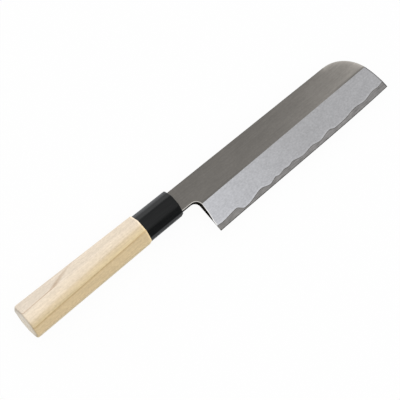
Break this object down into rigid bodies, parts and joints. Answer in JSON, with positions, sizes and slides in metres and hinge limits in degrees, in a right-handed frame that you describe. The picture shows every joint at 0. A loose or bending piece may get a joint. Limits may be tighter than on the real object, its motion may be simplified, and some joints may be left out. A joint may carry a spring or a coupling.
{
  "type": "usuba knife",
  "caption": "Right-handed single-bevel vegetable knife with a rounded nose, a laminated blade with a hollow-ground back, and an eight-sided wooden handle with a black ferrule.",
  "frame": {"origin": "under the middle of the knife's outline, on the surface that it lies on with the bevelled face up", "axes": "+X from the butt to the tip, +Y from the cutting edge to the spine, +Z out of the bevelled face"},
  "size_m": [0.3318, 0.0502, 0.023],
  "materials": {
    "soft_iron": "brushed flat, hazy stone-polished bevel",
    "hard_steel": "fine satin",
    "wood": "plain sanded pale wood",
    "horn": "polished black",
    "wax": "dull amber"
  },
  "bodies": {
    "root": {"soft_iron_body": "soft_iron", "hard_steel_edge": "hard_steel", "wood_grip": "wood", "black_ferrule": "horn", "tang_seal": "wax"}
  },
  "joints": []
}
